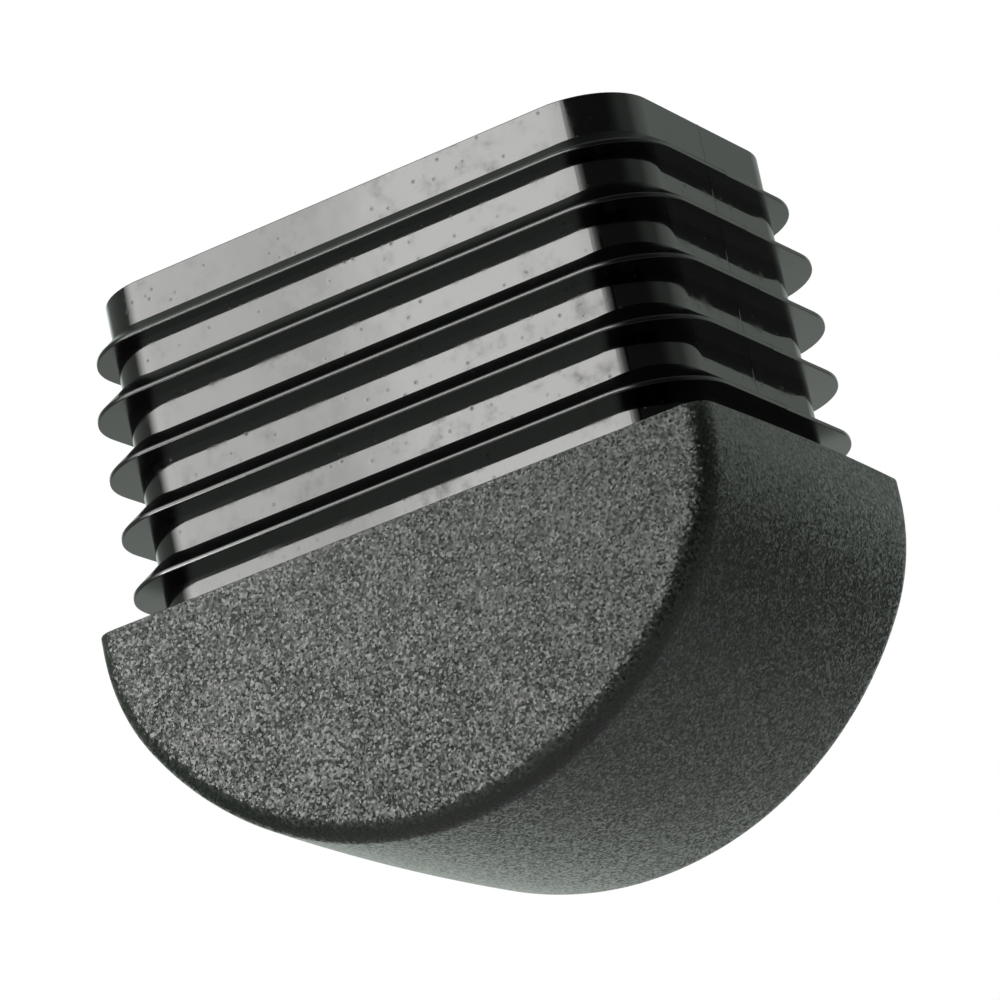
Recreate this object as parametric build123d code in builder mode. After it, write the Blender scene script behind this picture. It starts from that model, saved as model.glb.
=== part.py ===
from build123d import *
from math import atan2, degrees, radians, tan
import os

# End cap for a rectangular tube, moulded in one piece (millimetres).
# The tube's end seats on the shoulder at Z = 0. The finned plug stands up from the
# shoulder into the tube (+Z), and the half-round head hangs below it.

# Head
head_width = 50.0  # along X
head_thickness = 30.0  # along Y, between the two flat faces
head_depth = 21.9  # from the shoulder down to the lowest point of the sole
skirt = 1.3  # upright part of each side, between the shoulder and the side arc
side_radius = 15.2  # the arc on each side, which runs into the wider arc of the sole
crown = 0.35  # how far the rounded surface falls away from the middle towards the flat faces
head_edge = 1.6  # rounding between the rounded surface and the flat faces

# Plug, measured at the shoulder
plug_width = 44.0
plug_thickness = 25.3
plug_corner = 5.1
plug_height = 24.75
plug_flare = 0.5  # degrees; above the lowest fin it widens slightly towards the open end

# Fins, flat underneath and sloped on the side that enters the tube
full_fins = 4
first_fin = 2.6  # from the shoulder up to the underside of the lowest fin, with upright walls between
fin_pitch = 4.45
fin_overhang = 1.85
fin_corner = 6.2  # round enough to bend into the corners of the tube
fin_tip = 0.3  # thickness left at the edge
fin_slope = 40.0  # degrees from level
lead_fin_gap = 4.4  # from the last full fin up to the small one
lead_overhang = 1.3  # the small fin enters the tube first

# Hollow, left by a core that draws out along +Z
plug_wall = 2.2  # at the open end
sole_wall = 3.0
core_draft = 0.5  # degrees

# The sole's arc is tangent to both side arcs
half_width = head_width / 2
side_centre = half_width - side_radius
drop = head_depth - skirt
sole_radius = (drop**2 + side_centre**2 - side_radius**2) / (2 * (drop - side_radius))
sole_centre = sole_radius - head_depth
side_turn = degrees(atan2(sole_centre + skirt, side_centre))


def head_section(inner, outer):
    """The head cut through its thickness, from x = inner out to the rounded surface at x = outer."""
    face = head_thickness / 2
    with BuildSketch() as section:
        with BuildLine():
            Polyline((outer - crown, face), (inner, face), (inner, -face), (outer - crown, -face))
            ThreePointArc((outer - crown, -face), (outer, 0), (outer - crown, face))
        make_face()
        fillet(section.vertices().group_by(Axis.X)[-1], radius=head_edge)
    return section.sketch


# Core: the space inside, wide enough to draw out and ending in a floor that follows the sole
with BuildPart() as core:
    with BuildSketch(Plane.XY.offset(plug_height)):
        mouth = (plug_height - first_fin) * tan(radians(plug_flare)) - plug_wall
        RectangleRounded(plug_width + 2 * mouth, plug_thickness + 2 * mouth, plug_corner + mouth)
    extrude(amount=-(plug_height + head_depth), taper=core_draft)
    with BuildSketch(Plane.XZ):
        with BuildLine():
            side = half_width - sole_wall
            Polyline((0, plug_height), (side, plug_height), (side, -skirt))
            CenterArc((side_centre, -skirt), side_radius - sole_wall, 0, -side_turn)
            CenterArc((0, sole_centre), sole_radius - sole_wall, -side_turn, side_turn - 90)
            mirror(about=Plane.YZ)
        make_face()
    extrude(amount=head_thickness, both=True, mode=Mode.INTERSECT)

with BuildPart() as cap:
    # Head: the two sides with their skirts, then the sole between them
    with BuildSketch(Plane.XY):
        add(head_section(0, half_width))
    extrude(amount=-skirt)
    with BuildSketch(Plane.XY.offset(-skirt)):
        add(head_section(side_centre, half_width))
    revolve(axis=Axis((side_centre, 0, -skirt), (0, 1, 0)), revolution_arc=side_turn)
    mirror(about=Plane.YZ)
    with BuildSketch(Plane.XY.offset(sole_centre).rotated((0, side_turn, 0))):
        add(head_section(0, sole_radius))
    revolve(axis=Axis((0, 0, sole_centre), (0, 1, 0)), revolution_arc=180 - 2 * side_turn)
    split(bisect_by=Plane.XY, keep=Keep.BOTTOM)

    # Plug and its fins
    with BuildSketch(Plane.XY):
        RectangleRounded(plug_width, plug_thickness, plug_corner)
    extrude(amount=first_fin)
    with BuildSketch(Plane.XY.offset(first_fin)):
        RectangleRounded(plug_width, plug_thickness, plug_corner)
    extrude(amount=plug_height - first_fin, taper=-plug_flare)
    fins = [(first_fin + step * fin_pitch, fin_overhang) for step in range(full_fins)]
    fins.append((fins[-1][0] + lead_fin_gap, lead_overhang))
    for underside, overhang in fins:
        reach = overhang + (underside - first_fin) * tan(radians(plug_flare))
        width = plug_width + 2 * reach
        thickness = plug_thickness + 2 * reach
        # A thin edge all round, then the upper side sloping in until it is inside the wall
        with BuildSketch(Plane.XY.offset(underside)):
            RectangleRounded(width, thickness, fin_corner)
        extrude(amount=fin_tip)
        with BuildSketch(Plane.XY.offset(underside + fin_tip)):
            RectangleRounded(width, thickness, fin_corner)
        extrude(amount=(overhang + plug_wall / 2) * tan(radians(fin_slope)), taper=90 - fin_slope)
    add(core.part, mode=Mode.SUBTRACT)

cap.part.label = "end_cap"
os.makedirs("parts", exist_ok=True)
export_step(cap.part, "parts/end_cap.step")
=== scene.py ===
from math import asin, atan2, cos, degrees, hypot, pi, radians, sin, sqrt, tan

import bmesh
import bpy
from mathutils import Matrix, Vector


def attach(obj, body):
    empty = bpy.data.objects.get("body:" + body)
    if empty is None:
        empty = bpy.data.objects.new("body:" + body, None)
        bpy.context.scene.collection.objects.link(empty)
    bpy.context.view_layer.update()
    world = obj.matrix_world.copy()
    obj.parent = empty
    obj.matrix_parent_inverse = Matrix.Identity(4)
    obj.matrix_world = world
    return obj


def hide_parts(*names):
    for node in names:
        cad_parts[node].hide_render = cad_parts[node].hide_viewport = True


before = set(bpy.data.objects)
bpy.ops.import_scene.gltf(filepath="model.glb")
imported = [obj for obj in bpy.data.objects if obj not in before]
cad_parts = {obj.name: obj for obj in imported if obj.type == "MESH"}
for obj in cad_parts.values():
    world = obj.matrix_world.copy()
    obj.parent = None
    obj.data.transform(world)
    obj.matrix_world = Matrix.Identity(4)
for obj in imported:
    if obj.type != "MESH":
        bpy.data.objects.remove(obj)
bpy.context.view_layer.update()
mm = 0.001
near = 0.01  # mm, closer than this counts as the same place
weld = 0.001  # mm, for points that coincide
sharpAngle = radians(60)  # edges that turn by more are corners


def editMesh():
    return bmesh.from_edit_mesh(bpy.context.object.data)


def pickVerts(test):
    # the test gets each point in millimetres
    bpy.ops.mesh.select_mode(type="VERT")
    bpy.ops.mesh.select_all(action="DESELECT")
    mesh = editMesh()
    for vert in mesh.verts:
        vert.select_set(bool(test(vert.co / mm)))
    mesh.select_flush_mode()
    bmesh.update_edit_mesh(bpy.context.object.data)


def pickEdges(test):
    # the test gets the edge's two ends in millimetres, and the edge
    bpy.ops.mesh.select_mode(type="EDGE")
    bpy.ops.mesh.select_all(action="DESELECT")
    mesh = editMesh()
    for edge in mesh.edges:
        edge.select_set(bool(test(edge.verts[0].co / mm, edge.verts[1].co / mm, edge)))
    bmesh.update_edit_mesh(bpy.context.object.data)


def pickFaces(test):
    # the test gets the middle of each face in millimetres
    bpy.ops.mesh.select_mode(type="FACE")
    bpy.ops.mesh.select_all(action="DESELECT")
    mesh = editMesh()
    for face in mesh.faces:
        face.select_set(bool(test(face.calc_center_median() / mm)))
    bmesh.update_edit_mesh(bpy.context.object.data)


# The cap in millimetres. The tube's end seats on the shoulder at z = 0.
cap = {
    "headWidth": 50.0,
    "headThickness": 30.0,
    "headDepth": 21.9,
    "skirt": 1.3,  # upright part of each side under the shoulder
    "sideRadius": 15.2,
    "crown": 0.35,  # fall of the rounded surface from its middle to the flat faces
    "headEdge": 1.6,
    "shoulderEdge": 0.12,  # small moulded rounding
    "shoulderBorder": 0.5,
    "plugWidth": 44.0,
    "plugThickness": 25.3,
    "plugCorner": 5.1,
    "plugHeight": 24.75,
    "plugFlare": 0.5,  # degrees, above the first fin
    "fullFins": 4,
    "firstFin": 2.6,
    "finPitch": 4.45,
    "finOverhang": 1.85,
    "finCorner": 6.2,
    "finTip": 0.3,
    "finSlope": 40.0,  # degrees from level
    "leadFinGap": 4.4,
    "leadOverhang": 1.3,
    "tipUnder": 0.05,  # rounding of each tip's lower edge
    "tipOver": 0.05,
    "leadNose": 0.1,  # the lead fin's upper edge, which enters the tube first
    "rimEdge": 0.08,
    "plugWall": 2.2,
    "soleWall": 3.0,
    "coreDraft": 0.5,  # degrees
    "partingWidth": 0.16,
    "partingHeight": 0.035,
    "smoothAngle": 40.0,  # degrees
    # how finely the curves are divided
    "cornerSteps": 16,
    "longSideCuts": 26,
    "soleSteps": 120,
    "sideSteps": 20,
    "crownSteps": 28,
    "edgeSteps": 8,
    "tipSteps": 3,
    "rimSteps": 2,
}


def spinEdges(centre, axis, angle, steps):
    bpy.ops.mesh.spin(steps=steps, angle=-radians(angle), center=Vector(centre) * mm, axis=axis)


def dropSelected(depth):
    bpy.ops.mesh.extrude_region_move(TRANSFORM_OT_translate={"value": (0, 0, -depth * mm)})


def buildHead():
    halfWidth = cap["headWidth"] / 2
    halfThickness = cap["headThickness"] / 2
    skirt = cap["skirt"]
    # the sole's arc runs smoothly into both side arcs and is deepest in the middle
    sideCentre = halfWidth - cap["sideRadius"]
    drop = cap["headDepth"] - skirt
    soleRadius = (drop**2 + sideCentre**2 - cap["sideRadius"]**2) / (2 * (drop - cap["sideRadius"]))
    soleCentre = soleRadius - cap["headDepth"]
    sideTurn = degrees(atan2(soleCentre + skirt, sideCentre))

    # the section starts as one point on the flat face and is spun into edge, crown and edge
    crownRadius = (halfThickness**2 + cap["crown"]**2) / (2 * cap["crown"])
    crownCentre = halfWidth - crownRadius
    edgeAside = halfThickness - cap["headEdge"]
    edgeReach = crownRadius - cap["headEdge"]  # from the crown's centre to the edge's
    crownTurn = degrees(asin(edgeAside / edgeReach))
    edgeCentre = crownCentre + sqrt(edgeReach**2 - edgeAside**2)
    bpy.ops.mesh.select_all(action="SELECT")
    bpy.ops.mesh.merge(type="CENTER")
    bpy.ops.transform.translate(value=(edgeCentre * mm, -halfThickness * mm, 0))
    up = (0, 0, 1)
    spinEdges((edgeCentre, -edgeAside, 0), up, 90 - crownTurn, cap["edgeSteps"])
    spinEdges((crownCentre, 0, 0), up, 2 * crownTurn, cap["crownSteps"])
    spinEdges((edgeCentre, edgeAside, 0), up, 90 - crownTurn, cap["edgeSteps"])

    # the section then sweeps down one side, round the sole and up the other side
    bpy.ops.mesh.select_all(action="SELECT")
    dropSelected(skirt)
    along = (0, 1, 0)
    spinEdges((sideCentre, 0, -skirt), along, sideTurn, cap["sideSteps"])
    spinEdges((0, 0, soleCentre), along, 180 - 2 * sideTurn, cap["soleSteps"])
    spinEdges((-sideCentre, 0, -skirt), along, sideTurn, cap["sideSteps"])
    dropSelected(-skirt)
    bpy.ops.mesh.select_all(action="SELECT")
    bpy.ops.mesh.remove_doubles(threshold=weld * mm)
    for flatFace in (-halfThickness, halfThickness):
        pickEdges(lambda a, b, edge: max(abs(a.y - flatFace), abs(b.y - flatFace)) < weld)
        bpy.ops.mesh.edge_face_add()
    print("head made")
    return soleRadius, soleCentre


# A rounded outline is (half width, half thickness, corner radius) in millimetres
def grown(outline, by, corner=None):
    return (outline[0] + by, outline[1] + by, outline[2] + by if corner is None else corner)


def plugOutline(height):
    flare = max(0, height - cap["firstFin"]) * tan(radians(cap["plugFlare"]))
    return grown((cap["plugWidth"] / 2, cap["plugThickness"] / 2, cap["plugCorner"]), flare)


def mouthOutline():
    return grown(plugOutline(cap["plugHeight"]), -cap["plugWall"])


def insetFrom(outline, spot):
    # how far a point lies inside a rounded outline
    past = Vector((abs(spot.x) - outline[0] + outline[2], abs(spot.y) - outline[1] + outline[2]))
    if min(past) > 0:
        return outline[2] - past.length
    return outline[2] - max(past)


def onShoulderBorder(a, b):
    # both ends level with the shoulder and well outside the plug
    inset = max(insetFrom(plugOutline(0), a), insetFrom(plugOutline(0), b))
    return max(abs(a.z), abs(b.z)) < near and inset < -cap["shoulderBorder"]


def finList():
    # each fin as (overhang, height of its underside), the lead fin last
    heights = [cap["firstFin"] + number * cap["finPitch"] for number in range(cap["fullFins"])]
    return [(cap["finOverhang"], height) for height in heights] + [
        (cap["leadOverhang"], heights[-1] + cap["leadFinGap"])]


def reshapeRing(old, new, heightAt):
    # moves the selected ring from one rounded outline to another, with its corners' points on the new arcs
    mesh = editMesh()
    for vert in [v for v in mesh.verts if v.select]:
        spot = vert.co / mm
        moved = spot.copy()
        for k in (0, 1):
            side = 1 if spot[k] > 0 else -1
            straight = old[k] - old[2]
            if abs(spot[k]) > straight + weld:
                moved[k] = side * (new[k] - new[2] + (abs(spot[k]) - straight) * new[2] / old[2])
            else:
                moved[k] = spot[k] * (new[k] - new[2]) / straight
        moved.z = heightAt(moved)
        vert.co = moved * mm
    bmesh.update_edit_mesh(bpy.context.object.data)


def addPlugRing():
    # the foot of the plug, a rounded rectangle of edges at the shoulder
    outline = plugOutline(0)
    bpy.ops.mesh.select_all(action="DESELECT")
    bpy.ops.mesh.primitive_plane_add(size=2 * mm)
    bpy.ops.transform.resize(value=(outline[0], outline[1], 1))
    bpy.ops.mesh.bevel(offset=outline[2] * mm, segments=cap["cornerSteps"], affect="VERTICES")
    bpy.ops.mesh.delete(type="ONLY_FACE")
    straight = outline[0] - outline[2] + near
    pickEdges(lambda a, b, edge: not edge.link_faces and max(abs(a.x), abs(b.x)) < straight)
    bpy.ops.mesh.subdivide(number_cuts=cap["longSideCuts"])


def plugRings():
    # every ring as (outline, height), from the foot up over each fin to the rim and down the hollow
    rise = tan(radians(cap["finSlope"]))
    rings = []
    for overhang, underside in finList():
        wall = plugOutline(underside)
        fin = grown(wall, overhang, cap["finCorner"])
        tipTop = underside + cap["finTip"]
        rings.append((wall, lambda spot, z=underside: z))
        rings.append((fin, lambda spot, z=underside: z))
        rings.append((fin, lambda spot, z=tipTop: z))
        rings.append((plugOutline(tipTop + overhang * rise),
                      lambda spot, z=tipTop, fin=fin: z + insetFrom(fin, spot) * rise))
    top = cap["plugHeight"]
    rings.append((plugOutline(top), lambda spot: top))
    rings.append((mouthOutline(), lambda spot: top))
    floorRadius = soleRadius - cap["soleWall"]
    floorDepth = top - soleCentre + floorRadius
    floor = grown(mouthOutline(), -floorDepth * tan(radians(cap["coreDraft"])))
    rings.append((floor, lambda spot: soleCentre - sqrt(floorRadius**2 - spot.x**2)))
    return rings


def buildPlug():
    addPlugRing()
    pickEdges(lambda a, b, edge: not edge.link_faces)
    old = plugOutline(0)
    for outline, heightAt in plugRings():
        bpy.ops.mesh.extrude_region_move()
        reshapeRing(old, outline, heightAt)
        old = outline

    # the shoulder, with an even border, then the floor of the hollow, ruled across from front to back
    pickEdges(lambda a, b, edge: len(edge.link_faces) == 1 and onShoulderBorder(a, b))
    bpy.ops.mesh.extrude_region_move()
    border = [1 - 2 * cap["shoulderBorder"] / cap[size] for size in ("headWidth", "headThickness")]
    bpy.ops.transform.resize(value=(*border, 1), center_override=(0, 0, 0))
    pickEdges(lambda a, b, edge: len(edge.link_faces) == 1 and max(abs(a.z), abs(b.z)) < near)
    bpy.ops.mesh.fill()
    pickEdges(lambda a, b, edge: len(edge.link_faces) == 1 and abs(a.x - b.x) > near)
    bpy.ops.mesh.bridge_edge_loops()
    bpy.ops.mesh.select_all(action="SELECT")
    bpy.ops.mesh.normals_make_consistent(inside=False)
    print("plug, fins and hollow made")


def roundPicked(radius, steps):
    bpy.ops.mesh.bevel(offset=radius * mm, segments=steps, affect="EDGES")


def roundEdges():
    # fin tips, rim and shoulder get the small radius that moulded corners have
    for overhang, underside in finList():
        fin = grown(plugOutline(underside), overhang, cap["finCorner"])
        over = cap["leadNose"] if overhang == cap["leadOverhang"] else cap["tipOver"]
        for height, radius in ((underside, cap["tipUnder"]), (underside + cap["finTip"], over)):
            pickEdges(lambda a, b, edge: max(abs(a.z - height), abs(b.z - height)) < near
                      and max(insetFrom(fin, a), insetFrom(fin, b)) < near)
            roundPicked(radius, cap["tipSteps"])
    top = cap["plugHeight"]
    pickEdges(lambda a, b, edge: min(a.z, b.z) > top - near and edge.calc_face_angle() > sharpAngle)
    roundPicked(cap["rimEdge"], cap["rimSteps"])
    pickEdges(lambda a, b, edge: onShoulderBorder(a, b) and edge.calc_face_angle() > sharpAngle)
    roundPicked(cap["shoulderEdge"], cap["rimSteps"])
    print("tips, rim and shoulder rounded")


def raisePartingLine():
    # where the two halves of the mould met, a fine ridge runs up both narrow sides of the plug
    across = cap["partingWidth"] / 2
    insideWall = (cap["plugWidth"] - cap["plugWall"]) / 2
    for place in (-across, 0, across):
        pickFaces(lambda spot: abs(spot.x) > insideWall and spot.z > near)
        bpy.ops.mesh.bisect(plane_co=(0, place * mm, 0), plane_no=(0, 1, 0), threshold=weld * mm)
    for side in (-1, 1):
        pickVerts(lambda spot: abs(spot.y) < weld and side * spot.x > insideWall and spot.z > near)
        bpy.ops.transform.translate(value=(side * cap["partingHeight"] * mm, 0, 0))
    print("parting line raised")


bpy.ops.object.select_all(action="DESELECT")
bpy.ops.mesh.primitive_plane_add(size=mm)
capMesh = bpy.context.object
capMesh.name = "cap"
bpy.ops.object.mode_set(mode="EDIT")
soleRadius, soleCentre = buildHead()
buildPlug()
roundEdges()
raisePartingLine()
bpy.ops.mesh.select_all(action="SELECT")
bpy.ops.mesh.normals_make_consistent(inside=False)
mesh = editMesh()
openEdges = sum(1 for edge in mesh.edges if len(edge.link_faces) != 2)
print("cap made, with", openEdges, "open edges and", round(mesh.calc_volume() / mm**3), "cubic mm")
bpy.ops.object.mode_set(mode="OBJECT")


def linear(hexColour):
    channels = [int(hexColour[k:k + 2], 16) / 255 for k in (1, 3, 5)]
    return [c / 12.92 if c <= 0.04045 else ((c + 0.055) / 1.055)**2.4 for c in channels] + [1.0]


def addNode(tree, kind, inputs=None, **settings):
    # inputs are plain values, or (node, output) pairs to link from
    node = tree.nodes.new(kind)
    for name, value in settings.items():
        setattr(node, name, value)
    for name, value in (inputs or {}).items():
        if isinstance(value, tuple) and isinstance(value[0], bpy.types.Node):
            tree.links.new(value[0].outputs[value[1]], node.inputs[name])
        else:
            node.inputs[name].default_value = value
    return node


def newMaterial(name):
    material = bpy.data.materials.new(name)
    material.use_nodes = True
    tree = material.node_tree
    tree.nodes.clear()
    return material, tree


# Black polyethylene moulded against polished steel: deep black that mirrors the room,
# with faint smudges, dull specks and a little dust. Lengths are in millimetres.
gloss = {
    "colour": "#030403",
    "roughness": 0.035,
    "ior": 1.52,
    "smudgeSize": 2.2,
    "smudgeLimits": (0.48, 0.76),  # of the noise, where smudges start and are strongest
    "smudged": 0.3,  # roughness where fingers have dulled the gloss
    "haze": 0.12,  # share of the reflection that is blurred
    "hazeRoughness": 0.2,
    "speckSpacing": 1.1,
    "speckRadius": 0.3,
    "speckDepth": 0.002,
    "speckRoughness": 0.36,
    "waveLength": 2.5,
    "waveDepth": 0.006,
    "dust": "#8b8e88",
    "dustSpacing": 1.9,
    "dustRadius": 0.07,
}


def addSpecks(tree, place, spacing, radius):
    # sparse round spots: 0 in the middle of each, 1 outside
    cells = addNode(tree, "ShaderNodeTexVoronoi", {"Vector": (place, "Object"), "Scale": 1 / (spacing * mm)})
    return addNode(tree, "ShaderNodeMapRange", {
        "Value": (cells, "Distance"), "From Min": 0.0, "From Max": radius / spacing,
    }, interpolation_type="SMOOTHSTEP")


def glossMaterial():
    material, tree = newMaterial("mouldedPolyethyleneGloss")
    place = addNode(tree, "ShaderNodeTexCoord")
    smudges = addNode(tree, "ShaderNodeTexNoise", {
        "Vector": (place, "Object"), "Scale": 1 / (gloss["smudgeSize"] * mm),
        "Detail": 5.0, "Roughness": 0.65})
    roughness = addNode(tree, "ShaderNodeMapRange", {
        "Value": (smudges, "Fac"),
        "From Min": gloss["smudgeLimits"][0], "From Max": gloss["smudgeLimits"][1],
        "To Min": gloss["roughness"], "To Max": gloss["smudged"]})
    specks = addSpecks(tree, place, gloss["speckSpacing"], gloss["speckRadius"])
    dulled = addNode(tree, "ShaderNodeMapRange", {
        "Value": (specks, 0), "To Min": gloss["speckRoughness"], "To Max": 0.0})
    roughness = addNode(tree, "ShaderNodeMath", {0: (roughness, 0), 1: (dulled, 0)}, operation="MAXIMUM")

    # shrinkage leaves the wall slightly wavy, and each speck a shallow pit
    waves = addNode(tree, "ShaderNodeTexNoise", {
        "Vector": (place, "Object"), "Scale": 1 / (gloss["waveLength"] * mm), "Detail": 1.0})
    wavy = addNode(tree, "ShaderNodeBump", {
        "Height": (waves, "Fac"), "Strength": 1.0, "Distance": gloss["waveDepth"] * mm})
    pitted = addNode(tree, "ShaderNodeBump", {
        "Height": (specks, 0), "Strength": 1.0, "Distance": gloss["speckDepth"] * mm,
        "Normal": (wavy, "Normal")})
    clean = addSpecks(tree, place, gloss["dustSpacing"], gloss["dustRadius"])
    colour = addNode(tree, "ShaderNodeMix", {
        "Factor": (clean, 0), 6: linear(gloss["dust"]), 7: linear(gloss["colour"])}, data_type="RGBA")
    clear = addNode(tree, "ShaderNodeBsdfPrincipled", {
        "Base Color": (colour, 2), "Roughness": (roughness, 0), "IOR": gloss["ior"],
        "Normal": (pitted, "Normal")})
    hazy = addNode(tree, "ShaderNodeBsdfPrincipled", {
        "Base Color": (colour, 2), "Roughness": gloss["hazeRoughness"], "IOR": gloss["ior"],
        "Normal": (pitted, "Normal")})
    shader = addNode(tree, "ShaderNodeMixShader", {0: gloss["haze"], 1: (clear, "BSDF"), 2: (hazy, "BSDF")})
    addNode(tree, "ShaderNodeOutputMaterial", {"Surface": (shader, 0)})
    return material


# The same plastic moulded against ground steel: satin black, so reflections in the fins are soft
fins = {
    "colour": "#030403",
    "roughness": 0.2,
    "ior": 1.52,
    "outsideWall": 0.1,  # mm, the satin starts this far outside the plug's wall
}


def finMaterial():
    material, tree = newMaterial("satinPolyethyleneFins")
    shader = addNode(tree, "ShaderNodeBsdfPrincipled", {
        "Base Color": linear(fins["colour"]), "Roughness": fins["roughness"], "IOR": fins["ior"]})
    addNode(tree, "ShaderNodeOutputMaterial", {"Surface": (shader, "BSDF")})
    return material


# The same plastic moulded against spark-eroded steel: matt black with a fine, sparkling grain,
# because each facet of it leans its own way and catches the light by itself. Lengths are in millimetres.
grain = {
    "colour": "#0c140c",
    "flatRoughness": 0.36,
    "roundRoughness": 0.34,
    "ior": 1.5,
    "grainSize": 0.165,  # the pits that spark erosion leaves in the mould
    "flatTilt": 0.47,  # how steeply its facets lean on the two flat faces
    "roundTilt": 0.34,
    "facing": (0.1, 0.4),  # how squarely a face looks forwards, from round to flat
    "patchSize": 5.0,
    "patchLimits": (0.3, 0.7),
    "patchTilt": (0.85, 1.15),  # the grain is a little stronger in some patches
    "turn": (0.5, 0.9, 0.3),  # so that no face lies along the pattern's own grid
}


def grainMaterial():
    material, tree = newMaterial("mouldedPolyethyleneGrain")
    place = addNode(tree, "ShaderNodeTexCoord")
    turned = addNode(tree, "ShaderNodeMapping", {"Vector": (place, "Object"), "Rotation": grain["turn"]})
    facets = addNode(tree, "ShaderNodeTexVoronoi", {
        "Vector": (turned, "Vector"), "Scale": 1 / (grain["grainSize"] * mm)})
    areas = addNode(tree, "ShaderNodeTexNoise", {
        "Vector": (turned, "Vector"), "Scale": 1 / (grain["patchSize"] * mm), "Detail": 2.0})
    surface = addNode(tree, "ShaderNodeNewGeometry")
    facing = addNode(tree, "ShaderNodeSeparateXYZ", {"Vector": (surface, "Normal")})
    facing = addNode(tree, "ShaderNodeMath", {0: (facing, "Y")}, operation="ABSOLUTE")
    fromRoundToFlat = {"Value": (facing, 0), "From Min": grain["facing"][0], "From Max": grain["facing"][1]}
    tilt = addNode(tree, "ShaderNodeMapRange", {
        **fromRoundToFlat, "To Min": grain["roundTilt"], "To Max": grain["flatTilt"]})
    roughness = addNode(tree, "ShaderNodeMapRange", {
        **fromRoundToFlat, "To Min": grain["roundRoughness"], "To Max": grain["flatRoughness"]})
    patchy = addNode(tree, "ShaderNodeMapRange", {
        "Value": (areas, "Fac"),
        "From Min": grain["patchLimits"][0], "From Max": grain["patchLimits"][1],
        "To Min": grain["patchTilt"][0], "To Max": grain["patchTilt"][1]})
    steepness = addNode(tree, "ShaderNodeMath", {0: (tilt, 0), 1: (patchy, 0)}, operation="MULTIPLY")

    # the colour of a facet's cell, less its mean, is the way that the facet leans
    lean = addNode(tree, "ShaderNodeVectorMath", {
        0: (facets, "Color"), 1: (0.5, 0.5, 0.5)}, operation="SUBTRACT")
    lean = addNode(tree, "ShaderNodeVectorMath", {0: (lean, 0), "Scale": (steepness, 0)}, operation="SCALE")
    lean = addNode(tree, "ShaderNodeVectorMath", {0: (surface, "Normal"), 1: (lean, 0)}, operation="ADD")
    lean = addNode(tree, "ShaderNodeVectorMath", {0: (lean, 0)}, operation="NORMALIZE")
    shader = addNode(tree, "ShaderNodeBsdfPrincipled", {
        "Base Color": linear(grain["colour"]), "Roughness": (roughness, 0), "IOR": grain["ior"],
        "Normal": (lean, 0)})
    addNode(tree, "ShaderNodeOutputMaterial", {"Surface": (shader, "BSDF")})
    return material


def onHeadOutside(spot):
    # below the shoulder, and not on the floor of the hollow
    beyondFloor = hypot(spot.x, spot.z - soleCentre) > soleRadius - cap["soleWall"] / 2
    return spot.z < -cap["shoulderEdge"] / 2 and (beyondFloor or insetFrom(mouthOutline(), spot) < 0)


def onFins(spot):
    # above the shoulder, and outside the plug's own wall
    return spot.z > cap["firstFin"] / 2 and insetFrom(plugOutline(spot.z), spot) < -fins["outsideWall"]


# The first material covers the whole cap, and the others then take their own faces
for material in (glossMaterial(), grainMaterial(), finMaterial()):
    capMesh.data.materials.append(material)
bpy.ops.object.mode_set(mode="EDIT")
for slotNumber, test in ((1, onHeadOutside), (2, onFins)):
    pickFaces(test)
    capMesh.active_material_index = slotNumber
    bpy.ops.object.material_slot_assign()
bpy.ops.object.mode_set(mode="OBJECT")
bpy.ops.object.shade_smooth_by_angle(angle=radians(cap["smoothAngle"]))
weighted = capMesh.modifiers.new("weighted", "WEIGHTED_NORMAL")
weighted.keep_sharp = True
bpy.ops.object.modifier_apply(modifier="weighted")
print("gloss, grain and satin given to their faces")

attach(capMesh, "root")
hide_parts("end_cap")


view = {
    "aim": (1.363, -0.767, 3.830),  # mm
    "azimuth": 27.070,  # degrees, from the front towards the right
    "elevation": -18.797,
    "roll": 12.155,
    "distance": 385.98,  # mm
    "lens": 199.134,
    "sensor": 36.0,
    "nearest": 10.0,  # mm, where the view starts
}


def addCamera():
    camera = bpy.data.cameras.new("camera")
    camera.lens = view["lens"]
    camera.sensor_width = view["sensor"]
    camera.clip_start = view["nearest"] * mm
    holder = bpy.data.objects.new("camera", camera)
    bpy.context.scene.collection.objects.link(holder)
    turn = (Matrix.Rotation(radians(view["azimuth"]), 4, "Z")
            @ Matrix.Rotation(radians(90 - view["elevation"]), 4, "X")
            @ Matrix.Rotation(-radians(view["roll"]), 4, "Z"))
    holder.matrix_world = (Matrix.Translation(Vector(view["aim"]) * mm) @ turn
                           @ Matrix.Translation((0, 0, view["distance"] * mm)))
    bpy.context.scene.camera = holder
    print("camera placed")


def towards(azimuth, elevation):
    # unit vector from the cap; azimuth in degrees from the front towards the right
    azimuth, elevation = radians(azimuth), radians(elevation)
    return Vector((sin(azimuth) * cos(elevation), -cos(azimuth) * cos(elevation), sin(elevation)))


studio = {
    "room": 0.38,  # how bright the walls show in gloss
    "below": 0.08,  # the same for what lies lower than the cap
    "horizon": (-0.25, 0.05),  # sine of the elevation, where the one fades into the other
    "roomTint": (0.90, 1.0, 0.92, 1.0),
    "fill": 0.32,  # even light from the room
}
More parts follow.
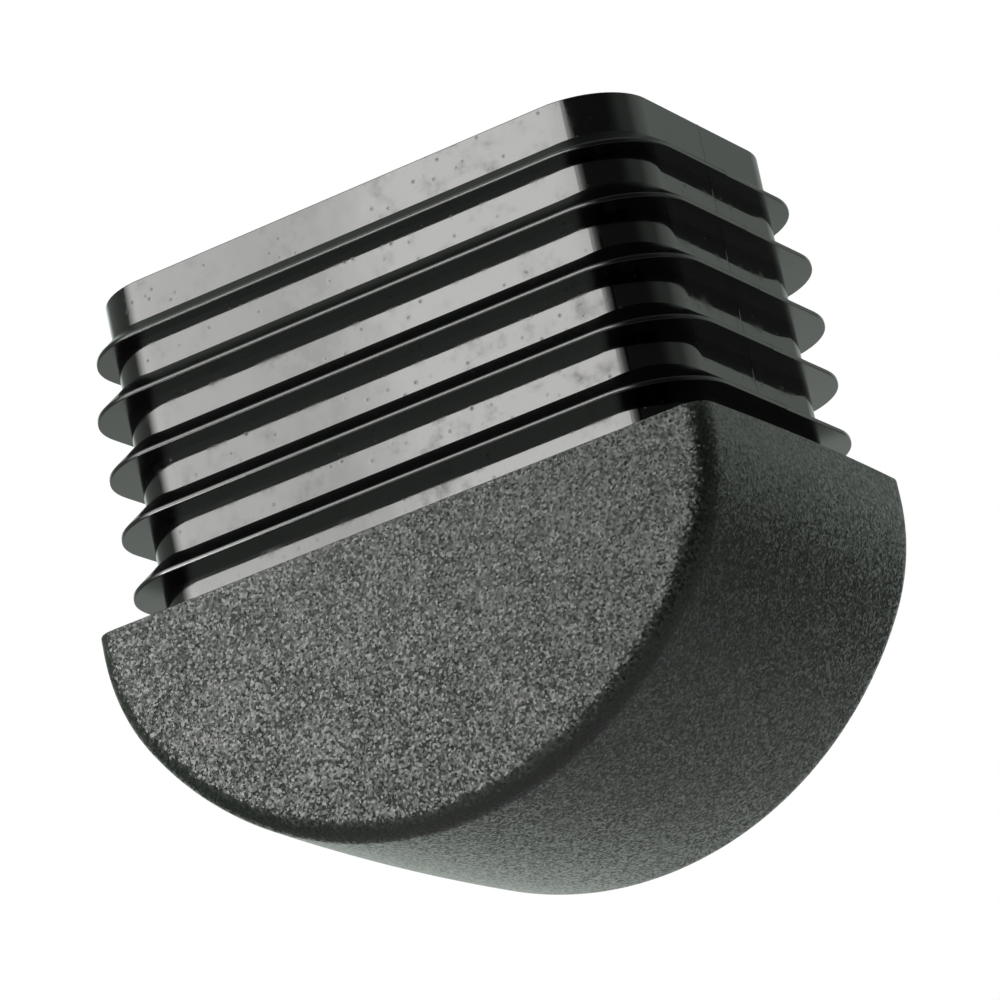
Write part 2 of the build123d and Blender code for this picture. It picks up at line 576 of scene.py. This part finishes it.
# What gloss shows besides: its direction as (azimuth, elevation), the angles from there at which
# it starts to fade and ends, and the level that it adds
patches = {
    "whiteBackdrop": {"at": (203, 10), "fade": (8, 45), "level": 1.0},
    "backdropAboveTheLight": {"at": (195, 32), "fade": (8, 30), "level": -0.8},
    "tableBehind": {"at": (170, -44), "fade": (6, 30), "level": 1.2},
    "windowBehind": {"at": (135, 21), "fade": (4, 27), "level": 0.43},
    "darkCorner": {"at": (42, 15), "fade": (25, 50), "level": -0.3},
    "tableInFront": {"at": (-27, -30), "fade": (12, 26), "level": 2.5},
    "ceiling": {"at": (-43, 55), "fade": (8, 28), "level": 1.3},
}


def setWorld():
    world = bpy.data.worlds.new("studio")
    bpy.context.scene.world = world
    world.use_nodes = True
    tree = world.node_tree
    tree.nodes.clear()
    path = addNode(tree, "ShaderNodeLightPath")
    place = addNode(tree, "ShaderNodeTexCoord")
    parts = addNode(tree, "ShaderNodeSeparateXYZ", {"Vector": (place, "Generated")})
    level = addNode(tree, "ShaderNodeMapRange", {
        "Value": (parts, "Z"), "From Min": studio["horizon"][0], "From Max": studio["horizon"][1],
        "To Min": studio["below"], "To Max": studio["room"]})
    for patch in patches.values():
        start, end = patch["fade"]
        closeness = addNode(tree, "ShaderNodeVectorMath", {
            0: (place, "Generated"), 1: towards(*patch["at"])}, operation="DOT_PRODUCT")
        added = addNode(tree, "ShaderNodeMapRange", {
            "Value": (closeness, "Value"), "From Min": cos(radians(end)), "From Max": cos(radians(start)),
            "To Min": 0.0, "To Max": patch["level"]}, interpolation_type="SMOOTHSTEP")
        level = addNode(tree, "ShaderNodeMath", {0: (level, 0), 1: (added, 0)}, operation="ADD")
    shown = addNode(tree, "ShaderNodeBackground", {"Color": studio["roomTint"], "Strength": (level, 0)})
    fill = addNode(tree, "ShaderNodeBackground", {"Color": (1, 1, 1, 1), "Strength": studio["fill"]})
    white = addNode(tree, "ShaderNodeBackground", {"Color": (1, 1, 1, 1), "Strength": 1.0})
    shiny = addNode(tree, "ShaderNodeMath", {
        0: (path, "Is Glossy Ray"), 1: (path, "Is Transmission Ray")}, operation="MAXIMUM")
    inGloss = addNode(tree, "ShaderNodeMixShader", {0: (shiny, 0), 1: (fill, 0), 2: (shown, 0)})
    seen = addNode(tree, "ShaderNodeMixShader", {0: (path, "Is Camera Ray"), 1: (inGloss, 0), 2: (white, 0)})
    addNode(tree, "ShaderNodeOutputWorld", {"Surface": (seen, 0)})


# The long soft box over the front, an upright card in millimetres
softBox = {
    "azimuth": -22.0,
    "distance": 664.0,
    "bottom": 200.0,
    "top": 345.0,
    "level": 10.5,
    "tint": (1.0, 0.995, 0.975, 1.0),
    # azimuth and the share of the full level there: the left end, a seam in the cloth, the right end
    "fade": [
        (-66, 0.0), (-61, 0.14), (-56, 0.36), (-51, 0.6), (-46, 0.82), (-41, 0.88), (-31, 0.88),
        (-29.2, 0.82), (-28.4, 0.67), (-27.6, 0.88), (-26.8, 1.05), (-24, 1.04),
        (5, 0.93), (5.8, 0.44), (9, 0.4), (12, 0.16), (19, 0.0),
    ],
}


def addSoftBox():
    across = max(abs(azimuth - softBox["azimuth"]) for azimuth, share in softBox["fade"])
    width = 2 * softBox["distance"] * tan(radians(across)) * mm
    height = (softBox["top"] - softBox["bottom"]) * mm
    direction = towards(softBox["azimuth"], 0)
    middle = direction * softBox["distance"] * mm + Vector((0, 0, softBox["bottom"] * mm + height / 2))
    upright = (pi / 2, 0, radians(softBox["azimuth"]))
    bpy.ops.object.select_all(action="DESELECT")
    bpy.ops.mesh.primitive_plane_add(size=1, location=middle, rotation=upright)
    card = bpy.context.object
    card.name = "softBox"
    card.scale = (width, height, 1)
    card.visible_camera = False
    material, tree = newMaterial("softBoxCloth")
    place = addNode(tree, "ShaderNodeTexCoord")
    parts = addNode(tree, "ShaderNodeSeparateXYZ", {"Vector": (place, "Generated")})
    ramp = addNode(tree, "ShaderNodeValToRGB", {"Fac": (parts, "X")})
    stops = ramp.color_ramp.elements
    for number, (azimuth, share) in enumerate(softBox["fade"]):
        stop = stops[number] if number < 2 else stops.new(1.0)
        stop.position = 0.5 + 0.5 * tan(radians(azimuth - softBox["azimuth"])) / tan(radians(across))
        stop.color = (share, share, share, 1)
    strength = addNode(tree, "ShaderNodeMath", {
        0: (ramp, "Color"), 1: softBox["level"]}, operation="MULTIPLY")
    light = addNode(tree, "ShaderNodeEmission", {"Color": softBox["tint"], "Strength": (strength, 0)})
    addNode(tree, "ShaderNodeOutputMaterial", {"Surface": (light, 0)})
    card.data.materials.append(material)


# A small lamp close to the head's flat face, on its left
nearLamp = {
    "azimuth": -39.0,
    "elevation": 10.4,
    "distance": 91.0,  # mm from the cap
    "width": 30.0,
    "height": 6.0,
    "level": 37.0,
}


def addNearLamp():
    lamp = bpy.data.lights.new("nearLamp", "AREA")
    lamp.shape = "RECTANGLE"
    lamp.size = nearLamp["width"] * mm
    lamp.size_y = nearLamp["height"] * mm
    lamp.energy = nearLamp["level"] * pi * lamp.size * lamp.size_y
    holder = bpy.data.objects.new("nearLamp", lamp)
    bpy.context.scene.collection.objects.link(holder)
    direction = towards(nearLamp["azimuth"], nearLamp["elevation"])
    holder.location = direction * nearLamp["distance"] * mm
    holder.rotation_euler = (-direction).to_track_quat("-Z", "Y").to_euler()
    holder.visible_camera = False


paleFloor = {
    "colour": "#f4f4f4",
    "roughness": 0.8,
    "height": -250.0,  # mm
    "size": 1000.0,
}


def addFloor():
    bpy.ops.object.select_all(action="DESELECT")
    bpy.ops.mesh.primitive_plane_add(size=paleFloor["size"] * mm, location=(0, 0, paleFloor["height"] * mm))
    floor = bpy.context.object
    floor.name = "floor"
    material, tree = newMaterial("paleFloor")
    shader = addNode(tree, "ShaderNodeBsdfPrincipled", {
        "Base Color": linear(paleFloor["colour"]), "Roughness": paleFloor["roughness"]})
    addNode(tree, "ShaderNodeOutputMaterial", {"Surface": (shader, "BSDF")})
    floor.data.materials.append(material)


addCamera()
setWorld()
addSoftBox()
addNearLamp()
addFloor()
bpy.context.scene.view_settings.view_transform = "Standard"
print("studio lit")
